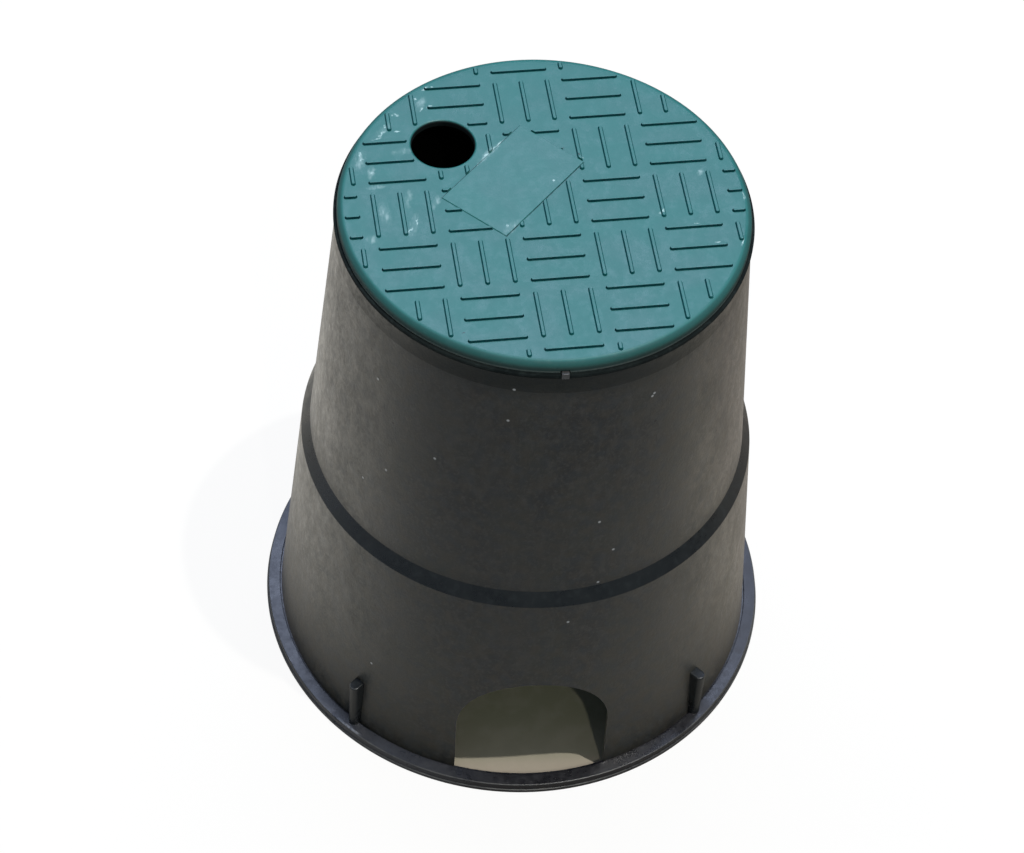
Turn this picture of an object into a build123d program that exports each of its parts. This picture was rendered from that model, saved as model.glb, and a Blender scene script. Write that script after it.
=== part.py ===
from build123d import *
import math
import os

# A round valve box for buried irrigation pipework, in millimetres.
# The origin is on the ground at the middle of the base, +Z is up, and one pipe notch faces -Y.
# It has two pieces: the tapered one-piece box, and the lid that rests on its rim.

# Wall of the box, from the base up: lower cone, shoulder, upper cone, collar and rim
wall = 2.6
foot_radius = 97.1
shoulder_radius = 88.2
shoulder_height = 107.8
shoulder_run = 3.5
shoulder_rise = 5.6
neck_radius = 75.9
rim_height = 230.4
collar_height = 9.9
rim_band = 1.7
rim_bead = 0.3

# Foot ring around the base, whose top falls a little outwards, with a lip and a gutter
ring_width = 5.8
ring_height = 5.0
ring_root = 0.8
ring_fall = 0.4
lip_height = 1.5
lip_width = 0.5
lip_slope = 0.3
gutter_width = 0.3
gutter_depth = 0.9

# Pipe notches, one in front and one behind
notch_width = 60.0
notch_height = 61.0

# Posts that stand on the foot ring against the wall
post_count = 4
post_first_angle = 45.0
post_width = 4.6
post_reach = 2.9
post_top = 30.5
post_bevel = 0.6

# Locating lug on the rim, and the room for it in the lid's edge
lug_width = 2.7
lug_height = 0.9
lug_depth = 2.3
lug_reach = 0.3
lug_turn = 1.1
lug_clearance = 0.4

# Lid: plate, rounded edge, brim that rests on the rim, and skirt that plugs into the box
lid_rise = 4.8
lid_plate = 2.6
lid_rounding = 2.5
lid_edge_flat_count = 3
lid_turn = 4.1
rim_shelf = 1.2
skirt_wall = 2.0
skirt_length = 9.0
skirt_clearance = 0.3

# Finger hole, on one diagonal of the lid's pattern
finger_hole_radius = 11.6
finger_hole_distance = 46.5
diagonal = 135.0

# Plain raised pad, across the same diagonal
pad_length = 47.2
pad_width = 29.2
pad_distance = 15.8
pad_shift = -1.9
pad_height = 0.3

# Basket pattern of ribs on top
block_pitch = 25.8
ribs_per_block = 3
rib_spacing = 9.8
rib_length = 21.2
rib_width = 1.8
rib_height = 0.8
rib_corner = 0.55
shortest_rib = 2.2
hole_margin = 1.6
pad_margin = 0.3

# Stiffening web under the lid
web_wall = 1.6
web_depth = 5.0
web_ring_radius = 24.0
web_arms = 4

# Worked out from the sizes above
front = -90.0
upper_foot_radius = shoulder_radius - shoulder_run
upper_foot_height = shoulder_height + shoulder_rise
neck_height = rim_height - collar_height
rim_radius = neck_radius + rim_bead
rim_bore = neck_radius - wall
lug_face = rim_radius + lug_reach
lug_angle = front + lug_turn
ring_radius = foot_radius + ring_width
gutter_floor = ring_height - gutter_depth
lid_radius = rim_radius - rim_shelf
lid_top = rim_height + lid_rise
skirt_radius = rim_bore - skirt_clearance


def turned(corners):
    """Turn a closed outline of (radius, height) corners about Z."""
    outline = Polyline(*corners, close=True)
    return revolve(Plane.XZ * make_face(outline), Axis.Z)


def rounded_edge(radius, height, rounding, flats):
    """Corners that round an outer top edge in a few flats, from the side up to the top."""
    corners = []
    for number in range(flats + 1):
        angle = math.radians(90 * number / flats)
        across = radius - rounding + rounding * math.cos(angle)
        up = height - rounding + rounding * math.sin(angle)
        corners.append((across, up))
    return corners


def outside():
    """The box's outside as a full solid, from the base to the top of the rim."""
    rim_foot = rim_height - rim_band
    return turned([
        (0, 0),
        (foot_radius, 0),
        (shoulder_radius, shoulder_height),
        (upper_foot_radius, upper_foot_height),
        (neck_radius, neck_height),
        (neck_radius, rim_foot - rim_bead),
        (rim_radius, rim_foot),
        (rim_radius, rim_height),
        (0, rim_height),
    ])


def hollow():
    """The space inside the wall, open at the bottom and at the rim."""
    below = -wall
    foot_slope = (foot_radius - shoulder_radius) / shoulder_height
    above = rim_height + wall
    return turned([
        (0, below),
        (foot_radius - wall - foot_slope * below, below),
        (shoulder_radius - wall, shoulder_height),
        (upper_foot_radius - wall, upper_foot_height),
        (rim_bore, neck_height),
        (rim_bore, above),
        (0, above),
    ])


def pipe_notches():
    """One arched prism that cuts both notches, down through the base."""
    arch_radius = notch_width / 2
    spring = notch_height - arch_radius
    below = -wall
    opening = Pos(0, spring) * Circle(arch_radius)
    opening += Pos(0, (spring + below) / 2) * Rectangle(notch_width, spring - below)
    return extrude(Plane.XZ * opening, ring_radius, both=True)


def post():
    """One half-round post on +X, running back past the wall for the hollow to trim."""
    half = post_width / 2
    centre = foot_radius + post_reach - half
    back = shoulder_radius - wall
    plan = Pos(centre, 0) * Circle(half)
    plan += Pos((centre + back) / 2, 0) * Rectangle(centre - back, post_width)
    blank = Pos(0, 0, gutter_floor) * extrude(plan, post_top - gutter_floor)
    top = blank.edges().group_by(Axis.Z)[-1]
    return chamfer(top.filter_by(lambda edge: edge.center().X > centre), post_bevel)


def foot_ring():
    """The flat ring around the base, whole across the notches too."""
    inner = foot_radius - ring_root
    side_radius = ring_radius - lip_width
    gutter_edge = foot_radius + gutter_width
    return turned([
        (inner, 0),
        (ring_radius, 0),
        (ring_radius, lip_height),
        (side_radius, lip_height + lip_slope),
        (side_radius, ring_height - ring_fall),
        (gutter_edge, ring_height),
        (gutter_edge, gutter_floor),
        (inner, gutter_floor),
    ])


def locating_lug():
    """The small block on the rim that the lid's edge is notched for."""
    root = rim_band
    block = Box(lug_depth, lug_width, lug_height + root)
    lift = rim_height + (lug_height - root) / 2
    return Rot(0, 0, lug_angle) * Pos(lug_face - lug_depth / 2, 0, lift) * block


def make_box():
    """The one-piece box: wall, shoulder, collar, rim, notches, foot ring, posts and lug."""
    body = outside()
    for number in range(post_count):
        angle = front + post_first_angle + number * 360 / post_count
        body += Rot(0, 0, angle) * post()
    body -= hollow()
    body -= pipe_notches()
    body += foot_ring()
    return body + locating_lug()


def lid_shell():
    """The lid's plate, rounded edge and skirt, with its brim's underside on the rim."""
    skirt_bore = skirt_radius - skirt_wall
    skirt_foot = rim_height - skirt_length
    return turned([
        (0, lid_top - lid_plate),
        (skirt_bore, lid_top - lid_plate),
        (skirt_bore, skirt_foot),
        (skirt_radius, skirt_foot),
        (skirt_radius, rim_height),
        (lid_radius, rim_height),
        *rounded_edge(lid_radius, lid_top, lid_rounding, lid_edge_flat_count),
        (0, lid_top),
    ])


def finger_hole_place():
    """The middle of the finger hole on the lid's top."""
    angle = math.radians(diagonal)
    return finger_hole_distance * math.cos(angle), finger_hole_distance * math.sin(angle)


def in_pad(x, y):
    """Whether a point of the lid's top is on the pad or within its margin."""
    angle = math.radians(diagonal)
    outward = x * math.cos(angle) + y * math.sin(angle)
    sideways = y * math.cos(angle) - x * math.sin(angle)
    across = abs(outward - pad_distance) < pad_width / 2 + pad_margin
    along = abs(sideways - pad_shift) < pad_length / 2 + pad_margin
    return across and along


def rib_fits(x, y):
    """Whether a rib's centre line may pass a point of the lid's top."""
    half = rib_width / 2
    inside_edge = math.hypot(x, y) < lid_radius - lid_rounding - half
    from_hole = math.dist((x, y), finger_hole_place())
    clear_of_hole = from_hole > finger_hole_radius + hole_margin + half
    return inside_edge and clear_of_hole and not in_pad(x, y)


def rib_runs(x, y, along_x):
    """The stretches of one rib, centred on a point, that lie clear of edge, hole and pad."""
    reach = (rib_length - rib_width) / 2
    steps = 200
    runs = []
    run = []
    for step in range(steps + 1):
        place = reach * (2 * step / steps - 1)
        point = (x + place, y) if along_x else (x, y + place)
        if rib_fits(*point):
            run.append(point)
        if run and (step == steps or not rib_fits(*point)):
            runs.append((run[0], run[-1]))
            run = []
    return [(start, end) for start, end in runs if math.dist(start, end) > shortest_rib - rib_width]


def basket_runs():
    """All rib stretches: blocks of parallel ribs that change direction from block to block."""
    blocks = math.ceil(lid_radius / block_pitch)
    middle = (ribs_per_block - 1) / 2
    runs = []
    for column in range(-blocks, blocks + 1):
        for row in range(-blocks, blocks + 1):
            along_x = (column + row) % 2 == 1
            for number in range(ribs_per_block):
                offset = (number - middle) * rib_spacing
                x = column * block_pitch + (0 if along_x else offset)
                y = row * block_pitch + (offset if along_x else 0)
                runs += rib_runs(x, y, along_x)
    return runs


def rib(start, end):
    """One raised rib with blunt ends, around the centre line between two points of the lid's top."""
    middle = ((start[0] + end[0]) / 2, (start[1] + end[1]) / 2)
    angle = math.degrees(math.atan2(end[1] - start[1], end[0] - start[0]))
    plan = Rectangle(math.dist(start, end) + rib_width, rib_width)
    plan = chamfer(plan.vertices(), rib_corner)
    return Pos(*middle, lid_top) * Rot(0, 0, angle) * extrude(plan, rib_height)


def pad():
    """The plain raised rectangle between the finger hole and the middle."""
    root = lid_plate / 2
    plate = Box(pad_width, pad_length, pad_height + root)
    place = Rot(0, 0, diagonal) * Pos(pad_distance, pad_shift, 0)
    return place * Pos(0, 0, lid_top + (pad_height - root) / 2) * plate


def underside():
    """The stiffening web, rooted in the plate."""
    ceiling = lid_top - lid_plate / 2
    web_height = web_depth + lid_plate / 2
    ring = Circle(web_ring_radius) - Circle(web_ring_radius - web_wall)
    parts = Pos(0, 0, ceiling - web_height) * extrude(ring, web_height)
    inner = web_ring_radius - web_wall / 2
    outer = skirt_radius - skirt_wall / 2
    arm = Pos((inner + outer) / 2, 0, ceiling - web_height / 2) * Box(outer - inner, web_wall, web_height)
    for number in range(web_arms):
        parts += Rot(0, 0, number * 360 / web_arms) * arm
    return parts


def lug_recess():
    """The recess in the lid's edge that goes over the locating lug."""
    inner = lug_face - lug_depth - lug_clearance
    depth = lug_face - inner
    height = lug_height + lug_clearance
    block = Box(depth, lug_width + 2 * lug_clearance, 2 * height)
    return Rot(0, 0, lug_angle) * Pos(inner + depth / 2, 0, rim_height) * block


def make_lid():
    """The lid, its pattern turned a little from the box's notches, as it was put on."""
    cover = lid_shell() + underside() + pad()
    cover += [rib(start, end) for start, end in basket_runs()]
    through = 2 * (lid_rise + skirt_length)
    cover -= Pos(*finger_hole_place(), rim_height) * Cylinder(finger_hole_radius, through)
    return Rot(0, 0, lid_turn) * cover - lug_recess()


os.makedirs("parts", exist_ok=True)
export_step(make_box(), "parts/box.step")
export_step(make_lid(), "parts/lid.step")
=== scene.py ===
import math

import bpy
import bmesh
from mathutils import Euler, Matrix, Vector


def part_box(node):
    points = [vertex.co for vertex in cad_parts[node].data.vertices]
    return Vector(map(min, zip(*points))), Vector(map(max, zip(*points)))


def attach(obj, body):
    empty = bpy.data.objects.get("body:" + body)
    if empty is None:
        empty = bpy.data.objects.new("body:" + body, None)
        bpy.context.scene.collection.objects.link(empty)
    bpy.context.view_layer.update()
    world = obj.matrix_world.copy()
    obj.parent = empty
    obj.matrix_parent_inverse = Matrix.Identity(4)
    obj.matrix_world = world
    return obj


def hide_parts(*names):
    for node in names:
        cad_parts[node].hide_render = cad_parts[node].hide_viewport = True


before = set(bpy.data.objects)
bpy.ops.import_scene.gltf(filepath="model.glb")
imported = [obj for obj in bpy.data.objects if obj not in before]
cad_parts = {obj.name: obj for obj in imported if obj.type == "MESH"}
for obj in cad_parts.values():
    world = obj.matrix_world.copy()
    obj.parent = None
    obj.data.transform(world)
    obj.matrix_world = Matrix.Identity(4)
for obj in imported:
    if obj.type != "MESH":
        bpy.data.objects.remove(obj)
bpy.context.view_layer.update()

# Sizes are in metres. The outermost ones come from the frame, the others are the moulding's own.
box_low, box_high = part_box("box")
lid_low, lid_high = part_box("lid")
mm = 0.001
segments = 384
rounding_steps = 5
sharpest_smooth = math.radians(35)

# Wall of the box
wall = 2.6 * mm
foot_radius = 97.1 * mm
shoulder_radius = 88.2 * mm
shoulder_height = 107.8 * mm
upper_foot_radius = 84.7 * mm
upper_foot_height = 113.4 * mm
neck_radius = 75.9 * mm
neck_height = 220.5 * mm
rim_bore = neck_radius - wall
rim_bead = 0.3 * mm
rim_radius = neck_radius + rim_bead
rim_band = 1.7 * mm
groove_depth = 0.5 * mm
groove_height = 0.4 * mm
groove_slope = 0.2 * mm
bead_slope = 0.05 * mm
lug_height = 0.9 * mm
rim_height = box_high.z - lug_height
shoulder_rounding = 0.8 * mm
rim_rounding = 0.2 * mm
bore_rounding = 0.3 * mm

# Foot ring
ring_radius = 102.9 * mm
ring_height = 5.0 * mm
ring_root = 0.8 * mm
ring_fall = 0.4 * mm
lip_height = 1.5 * mm
lip_width = 0.5 * mm
lip_slope = 0.3 * mm
gutter_width = 0.3 * mm
gutter_depth = 0.9 * mm
gutter_rounding = 0.25 * mm
lip_rounding = 0.3 * mm
lip_root_rounding = 0.15 * mm
ring_edge_rounding = 0.5 * mm

# Notches, posts and lug
notch_width = 60 * mm
notch_height = 61 * mm
notch_bevel = 0.35 * mm
arch_segments = 192
post_angles = (-45, 45, 135, 225)
post_width = 4.6 * mm
post_reach = 2.9 * mm
post_top = 30.5 * mm
post_bevel = 0.7 * mm
post_segments = 48
lug_width = 2.7 * mm
lug_depth = 2.3 * mm
lug_reach = 0.3 * mm
lug_turn = math.radians(1.1)
lug_clearance = 0.4 * mm
lug_bevel = 0.25 * mm

# Lid
lid_radius = 75.0 * mm
rib_top = lid_high.z
rib_height = 0.8 * mm
lid_top = rib_top - rib_height
lid_plate = 2.6 * mm
lid_rounding = 2.9 * mm
brim_rounding = 0.25 * mm
lid_turn = math.radians(4.1)
skirt_clearance = 0.3 * mm
skirt_radius = rim_bore - skirt_clearance
skirt_wall = 2.0 * mm
skirt_rounding = 0.5 * mm
skirt_foot = lid_low.z
hole_radius = 11.6 * mm
hole_distance = 46.5 * mm
hole_rounding = 1.0 * mm
hole_segments = 160
diagonal = math.radians(135)
pad_length = 47.2 * mm
pad_width = 29.2 * mm
pad_distance = 15.8 * mm
pad_shift = -1.9 * mm
pad_height = 0.3 * mm
pad_bevel = 0.27 * mm
web_wall = 1.6 * mm
web_depth = 5.0 * mm
web_ring_radius = 24 * mm
web_arms = 4

# Basket pattern of ribs. The profile gives heights up a rib's side, and how far it has drawn in there.
block_pitch = 25.8 * mm
ribs_per_block = 3
rib_spacing = 9.8 * mm
rib_length = 21.2 * mm
rib_width = 1.8 * mm
rib_root = 0.4 * mm
rib_profile = ((0.68 * mm, 0.36 * mm), (0.77 * mm, 0.42 * mm), (rib_height, 0.52 * mm))
shortest_rib = 2.2 * mm
hole_margin = 1.6 * mm
rib_edge_margin = 2.5 * mm
pad_margin = 0.3 * mm


# Shader nodes. Patterns are measured in millimetres on the piece.

def feed(tree, socket, value):
    """Link a node's output to a socket, or set a plain value on it."""
    if isinstance(value, bpy.types.NodeSocket):
        tree.links.new(value, socket)
    else:
        socket.default_value = value


def new_finish(name):
    """A material, its node tree, its shader, and the place on the piece in millimetres."""
    material = bpy.data.materials.new(name)
    material.use_nodes = True
    tree = material.node_tree
    where = tree.nodes.new("ShaderNodeTexCoord")
    scale = tree.nodes.new("ShaderNodeVectorMath")
    scale.operation = "SCALE"
    scale.inputs["Scale"].default_value = 1 / mm
    tree.links.new(where.outputs["Object"], scale.inputs[0])
    return material, tree, tree.nodes["Principled BSDF"], scale.outputs["Vector"]


def maths(tree, operation, first, second=0.0):
    """One sum of two values, or of one where the sum takes no second."""
    node = tree.nodes.new("ShaderNodeMath")
    node.operation = operation
    feed(tree, node.inputs[0], first)
    feed(tree, node.inputs[1], second)
    return node.outputs[0]


def fade(tree, value, start, end, at_start=0.0, at_end=1.0):
    """A value turned smoothly from one level at a start into another at an end."""
    node = tree.nodes.new("ShaderNodeMapRange")
    node.interpolation_type = "SMOOTHSTEP"
    for socket, level in zip(node.inputs, (value, start, end, at_start, at_end)):
        feed(tree, socket, level)
    return node.outputs[0]


def patches(tree, place, size, detail, stretch=(1, 1, 1), shift=0):
    """Cloudy noise around 0.5, with patches of a size, drawn out along the axes that have less stretch."""
    where = tree.nodes.new("ShaderNodeMapping")
    feed(tree, where.inputs["Vector"], place)
    where.inputs["Location"].default_value = (shift, shift, shift)
    where.inputs["Scale"].default_value = [factor / size for factor in stretch]
    node = tree.nodes.new("ShaderNodeTexNoise")
    tree.links.new(where.outputs["Vector"], node.inputs["Vector"])
    node.inputs["Scale"].default_value = 1
    node.inputs["Detail"].default_value = detail
    return node.outputs[0]


def blend(tree, amount, first, second):
    """Two colours blended by an amount."""
    node = tree.nodes.new("ShaderNodeMix")
    node.data_type = "RGBA"
    feed(tree, node.inputs[0], amount)
    for socket, colour in ((node.inputs[6], first), (node.inputs[7], second)):
        feed(tree, socket, colour if isinstance(colour, bpy.types.NodeSocket) else (*colour, 1))
    return node.outputs[2]


def axis(tree, place, name):
    """One coordinate of a place: X, Y or Z."""
    parts = tree.nodes.new("ShaderNodeSeparateXYZ")
    tree.links.new(place, parts.inputs[0])
    return parts.outputs[name]


def from_middle(tree, place):
    """How far a place is from the box's upright axis."""
    x = axis(tree, place, "X")
    y = axis(tree, place, "Y")
    square = maths(tree, "ADD", maths(tree, "MULTIPLY", x, x), maths(tree, "MULTIPLY", y, y))
    return maths(tree, "SQRT", square)


def distance(tree, place, point):
    """How far a place is from a point, in millimetres."""
    node = tree.nodes.new("ShaderNodeVectorMath")
    node.operation = "DISTANCE"
    tree.links.new(place, node.inputs[0])
    node.inputs[1].default_value = point
    return node.outputs["Value"]


def marks(tree, place, centres, radius):
    """Small round marks at points of the surface, as one mask."""
    mask = 0.0
    for centre in centres:
        mark = fade(tree, distance(tree, place, centre), 1.5 * radius, 0.5 * radius)
        mask = maths(tree, "MAXIMUM", mask, mark)
    return mask


def wander(tree, place, size, reach):
    """A place moved about by noise, so that marks get ragged edges."""
    noise = tree.nodes.new("ShaderNodeTexNoise")
    tree.links.new(place, noise.inputs["Vector"])
    noise.inputs["Scale"].default_value = 1 / size
    noise.inputs["Detail"].default_value = 3
    centred = tree.nodes.new("ShaderNodeVectorMath")
    centred.operation = "SUBTRACT"
    tree.links.new(noise.outputs["Color"], centred.inputs[0])
    centred.inputs[1].default_value = (0.5, 0.5, 0.5)
    moved = tree.nodes.new("ShaderNodeVectorMath")
    moved.operation = "MULTIPLY_ADD"
    tree.links.new(centred.outputs["Vector"], moved.inputs[0])
    moved.inputs[1].default_value = (2 * reach, 2 * reach, 0)
    tree.links.new(place, moved.inputs[2])
    return moved.outputs["Vector"]


def smears(tree, place, ellipses):
    """Soft smears, each (x, y, half length, half width, turn in degrees), as one mask."""
    mask = 0.0
    for x, y, half_length, half_width, turn in ellipses:
        where = tree.nodes.new("ShaderNodeMapping")
        where.vector_type = "TEXTURE"
        tree.links.new(place, where.inputs["Vector"])
        where.inputs["Location"].default_value = (x, y, 0)
        where.inputs["Rotation"].default_value = (0, 0, math.radians(turn))
        where.inputs["Scale"].default_value = (half_length, half_width, 1 / mm)
        size = tree.nodes.new("ShaderNodeVectorMath")
        size.operation = "LENGTH"
        tree.links.new(where.outputs["Vector"], size.inputs[0])
        mask = maths(tree, "MAXIMUM", mask, fade(tree, size.outputs["Value"], 1.0, 0.1))
    return mask


def relief(tree, shader, height, depth):
    """Bump on a shader, from a height between 0 and 1 and its depth."""
    bump = tree.nodes.new("ShaderNodeBump")
    bump.inputs["Distance"].default_value = depth
    tree.links.new(height, bump.inputs["Height"])
    tree.links.new(bump.outputs["Normal"], shader.inputs["Normal"])


# Camera at the photograph's place and angle, fitted to the outlines of lid, rim and ring
photo_width = 1024
photo_height = 853
camera_lens = 104.52
camera_sensor = 36
camera_place = (-0.10340, -0.72205, 1.02153)
camera_turns = [math.radians(turn) for turn in (38.4310, -2.9095, -4.0657)]
sight_step = 0.02 * mm


def sight(across, down):
    """The way in which the camera looks through a pixel of the photograph."""
    pixel_size = camera_sensor / photo_width
    way = Vector((across - photo_width / 2, photo_height / 2 - down, -camera_lens / pixel_size))
    way.rotate(Euler(camera_turns))
    return way.normalized()


def seen_at_height(across, down, height):
    """The point at a height that the camera sees through a pixel."""
    way = sight(across, down)
    start = Vector(camera_place)
    return start + way * ((height - start.z) / way.z)


def wall_radius(height):
    """The wall's outer radius at a height, by the straight lines of its outline."""
    outline = (
        (0, foot_radius), (shoulder_height, shoulder_radius), (upper_foot_height, upper_foot_radius),
        (neck_height, neck_radius), (rim_height, neck_radius),
    )
    for (low, low_radius), (high, high_radius) in zip(outline, outline[1:]):
        if height <= high:
            return low_radius + (high_radius - low_radius) * (height - low) / (high - low)
    return neck_radius


def seen_on_wall(across, down):
    """The place on the wall that shows at a pixel, in millimetres. It lies down the sight from the rim."""
    way = sight(across, down)
    start = seen_at_height(across, down, rim_height)
    reach = 0.0
    point = start
    while math.hypot(point.x, point.y) > wall_radius(point.z):
        reach += sight_step
        point = start + way * reach
    return tuple(point / mm)


def seen_on_lid(pixel_ellipses):
    """Ellipses given by a pixel, half length, half width and turn, moved to their places on the lid."""
    placed = []
    for across, down, half_length, half_width, turn in pixel_ellipses:
        point = seen_at_height(across, down, lid_top)
        placed.append((point.x / mm, point.y / mm, half_length, half_width, turn))
    return placed


# Marks of use. Pixels were read off the photograph, and the script works out their places from
# them. The other places are given in millimetres. Half sizes and turns were judged.
fleck_pixels = (
    (652.5, 396), (654.5, 393), (378, 379), (362.9, 477.6), (434.7, 458.5), (508, 420.6), (514.2, 389.7),
    (599.5, 522), (613.3, 549.3), (598, 582), (568, 622), (371.4, 663.2), (686.3, 551.7), (386, 470),
)
pit_pixels = ((728.3, 463), (716.5, 430.6), (655.6, 420.9), (725, 630), (393, 423))
back_fleck = (80.5, 22.0, 128.0)
back_pit = (12.0, 82.0, 140.0)
smear_pixels = (
    (360.6, 156, 4.5, 2.4, 70), (371.5, 172.5, 5.5, 1.8, 85), (385, 214, 8.5, 2.6, 97),
    (408, 200, 6.5, 1.9, 80), (414, 225, 7.5, 2.3, 75), (436, 203, 5.0, 1.8, 65), (372, 239, 3.0, 2.4, 95),
)
hand_set_smears = (
    (-66, 20.5, 4.0, 2.4, 80), (-60.5, 9.5, 5.0, 1.4, 5), (-50, 27, 6.0, 2.2, 10), (58, 14, 2.4, 1.4, 60),
    (-57, 37.5, 6.0, 2.0, 48), (-18.5, 25.5, 9.0, 1.8, 49), (-42.5, 50.5, 6.0, 2.0, 65),
    (-13, -11.5, 6.0, 2.5, 50),
)
# The bright marks on the lid are partly scuffs and partly painted highlights.
highlight_and_scuff_pixels = (
    (396, 115, 1.7, 0.8, -40), (392, 116, 0.9, 0.6, 60), (384.5, 126.5, 1.2, 0.7, 80),
    (382, 134, 2.6, 0.9, 52), (377, 139, 2.4, 0.6, 30), (397, 131.5, 1.4, 0.5, 10),
    (421, 109.5, 1.8, 0.7, 65), (424.5, 89.5, 1.5, 1.0, 20), (432, 88.5, 1.2, 0.6, -30),
    (429, 107, 1.4, 0.7, 20), (415, 99, 1.3, 0.6, 60), (360, 154, 1.6, 0.9, 80), (361, 160, 1.3, 0.7, 60),
    (371.5, 172.5, 1.0, 0.5, 10), (479, 163, 3.0, 0.5, 49), (662, 212, 1.5, 1.1, 50),
    (697, 223.5, 1.6, 0.5, 10), (718, 242.5, 1.2, 0.5, 5), (554.4, 181.1, 0.7, 0.6, 0),
    (507.2, 226.1, 1.2, 0.5, 70), (417, 222, 2.6, 0.5, 78),
)
highlights_and_scuffs_in_mm = (
    (-20, 24, 2.4, 0.5, 47), (-14.5, 30, 3.2, 0.6, 49), (-16.5, 28, 1.8, 0.5, 52), (72.5, 2, 3.0, 0.5, 88),
    (69.5, -20, 2.6, 0.5, 74), (15, 22, 1.1, 0.6, 40), (-49, -11.5, 2.4, 0.5, 60),
)
nick_pixels = ((563.3, 148.3, 0.9, 0.5, 10), (463, 333, 0.9, 0.6, 0))
hand_set_nick = (14, 23.5, 1.2, 0.5, -40)
light_flecks = [seen_on_wall(*pixel) for pixel in fleck_pixels] + [back_fleck]
dark_pits = [seen_on_wall(*pixel) for pixel in pit_pixels] + [back_pit]
lid_smears = seen_on_lid(smear_pixels) + list(hand_set_smears)
lid_highlights_and_scuffs = seen_on_lid(highlight_and_scuff_pixels) + list(highlights_and_scuffs_in_mm)
lid_nicks = seen_on_lid(nick_pixels) + [hand_set_nick]
rubbed_turn = math.radians(225)


# Finishes

def textured_black(name, gloss):
    """The wall's fine moulded texture: nearly black, mottled, a little dusty, with flecks and pits, and
    painted shade that darkens it up the collar towards the rim.
    """
    material, tree, shader, place = new_finish(name)
    cloud = patches(tree, place, 16, 3, (1, 1, 0.6))
    mottle = patches(tree, place, 3.4, 4, (1, 1, 0.6), shift=7)
    speckle = patches(tree, place, 1.3, 3, (1, 1, 0.8), shift=13)
    grain = patches(tree, place, 0.6, 2, shift=3)
    tint = patches(tree, place, 4.5, 3, shift=21)
    tone = blend(tree, fade(tree, cloud, 0.35, 0.65), (0.018, 0.019, 0.018), (0.027, 0.028, 0.023))
    tone = blend(tree, fade(tree, mottle, 0.42, 0.7, 0, 0.65), tone, (0.046, 0.045, 0.040))
    tone = blend(tree, fade(tree, speckle, 0.45, 0.72, 0, 0.5), tone, (0.062, 0.060, 0.055))
    tone = blend(tree, fade(tree, tint, 0.5, 0.66, 0, 0.4), tone, (0.040, 0.033, 0.022))
    tone = blend(tree, fade(tree, tint, 0.5, 0.34, 0, 0.4), tone, (0.018, 0.026, 0.033))
    haze = fade(tree, patches(tree, place, 30, 4, (1, 1, 0.4), shift=11), 0.5, 0.72, 0, 0.35)
    tone = blend(tree, haze, tone, (0.035, 0.034, 0.03))
    # Painted shade: the wall darkens from just below the collar up towards the rim.
    up_collar = maths(tree, "SUBTRACT", axis(tree, place, "Z"), neck_height / mm)
    tone = blend(tree, fade(tree, up_collar, -7, 5, 0, 0.8), tone, (0.009, 0.013, 0.012))
    tone = blend(tree, marks(tree, place, dark_pits, 0.5), tone, (0.003, 0.003, 0.003))
    tone = blend(tree, marks(tree, place, light_flecks, 0.5), tone, (0.34, 0.35, 0.35))
    tree.links.new(tone, shader.inputs["Base Color"])
    rough = fade(tree, cloud, 0.3, 0.7, 0.38, 0.46)
    rough = maths(tree, "ADD", rough, fade(tree, mottle, 0.3, 0.7, -0.05, 0.05))
    rough = maths(tree, "ADD", rough, fade(tree, speckle, 0.3, 0.7, -0.05, 0.05))
    tree.links.new(rough, shader.inputs["Roughness"])
    shader.inputs["Specular IOR Level"].default_value = gloss
    shader.inputs["Sheen Weight"].default_value = 0.2
    shader.inputs["Sheen Roughness"].default_value = 0.3
    shader.inputs["Sheen Tint"].default_value = (1, 0.86, 0.68, 1)
    texture = maths(tree, "ADD", maths(tree, "ADD", grain, speckle), mottle)
    relief(tree, shader, texture, 0.042 * mm)
    return material


def rubbed_edge(tree, place):
    """The rubbed stretch of the foot ring's outer edge, in front on the left, as a mask."""
    side_top = (ring_height - ring_fall) / mm
    streak_radius = (ring_radius - lip_width) / mm - 0.8
    off_streak = maths(tree, "ABSOLUTE", maths(tree, "SUBTRACT", from_middle(tree, place), streak_radius))
    on_top = fade(tree, axis(tree, place, "Z"), side_top - 0.5, side_top - 0.2)
    streak = maths(tree, "MULTIPLY", fade(tree, off_streak, 0.7, 0.3), on_top)
    ragged = wander(tree, place, 1.6, 1.5)
    middle = (*turned((ring_radius - lip_width) / mm, 0, rubbed_turn), side_top)
    near = fade(tree, distance(tree, ragged, middle), 8, 5)
    streak = maths(tree, "MULTIPLY", streak, near)
    broken = fade(tree, patches(tree, place, 1.4, 3, shift=31), 0.38, 0.52, 0.15, 1.0)
    return maths(tree, "MULTIPLY", streak, broken)


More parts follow.
